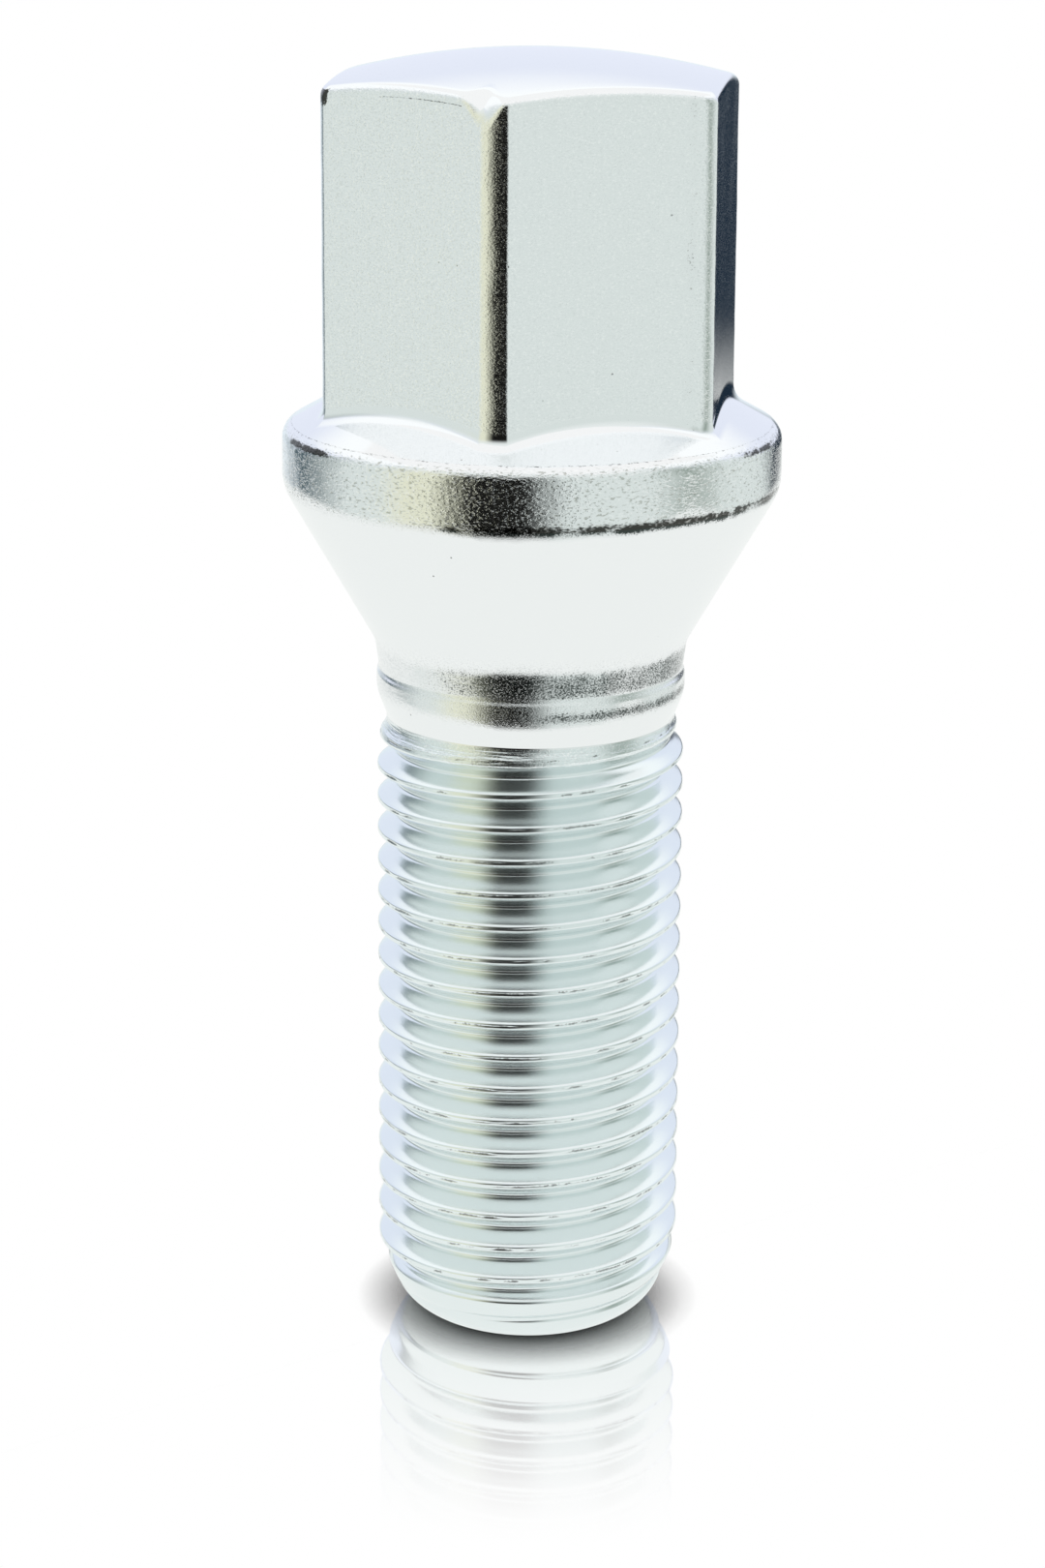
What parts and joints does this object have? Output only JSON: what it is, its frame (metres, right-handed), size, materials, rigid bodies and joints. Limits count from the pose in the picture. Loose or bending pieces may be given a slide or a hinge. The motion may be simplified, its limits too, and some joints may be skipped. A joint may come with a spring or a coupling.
{
  "type": "wheel bolt",
  "caption": "Wheel bolt with a domed hexagonal head, a round collar, a cone seat and a threaded shank, made to clamp a road wheel to its hub.",
  "frame": {"origin": "middle of the flat end of the tip, which the bolt stands on", "axes": "+Z along the bolt from the tip to the head, -Y through a corner of the hexagon"},
  "size_m": [0.022, 0.022, 0.0579],
  "materials": {
    "plated_steel": "gloss"
  },
  "bodies": {
    "root": {"wheel_bolt": "plated_steel"}
  },
  "joints": []
}
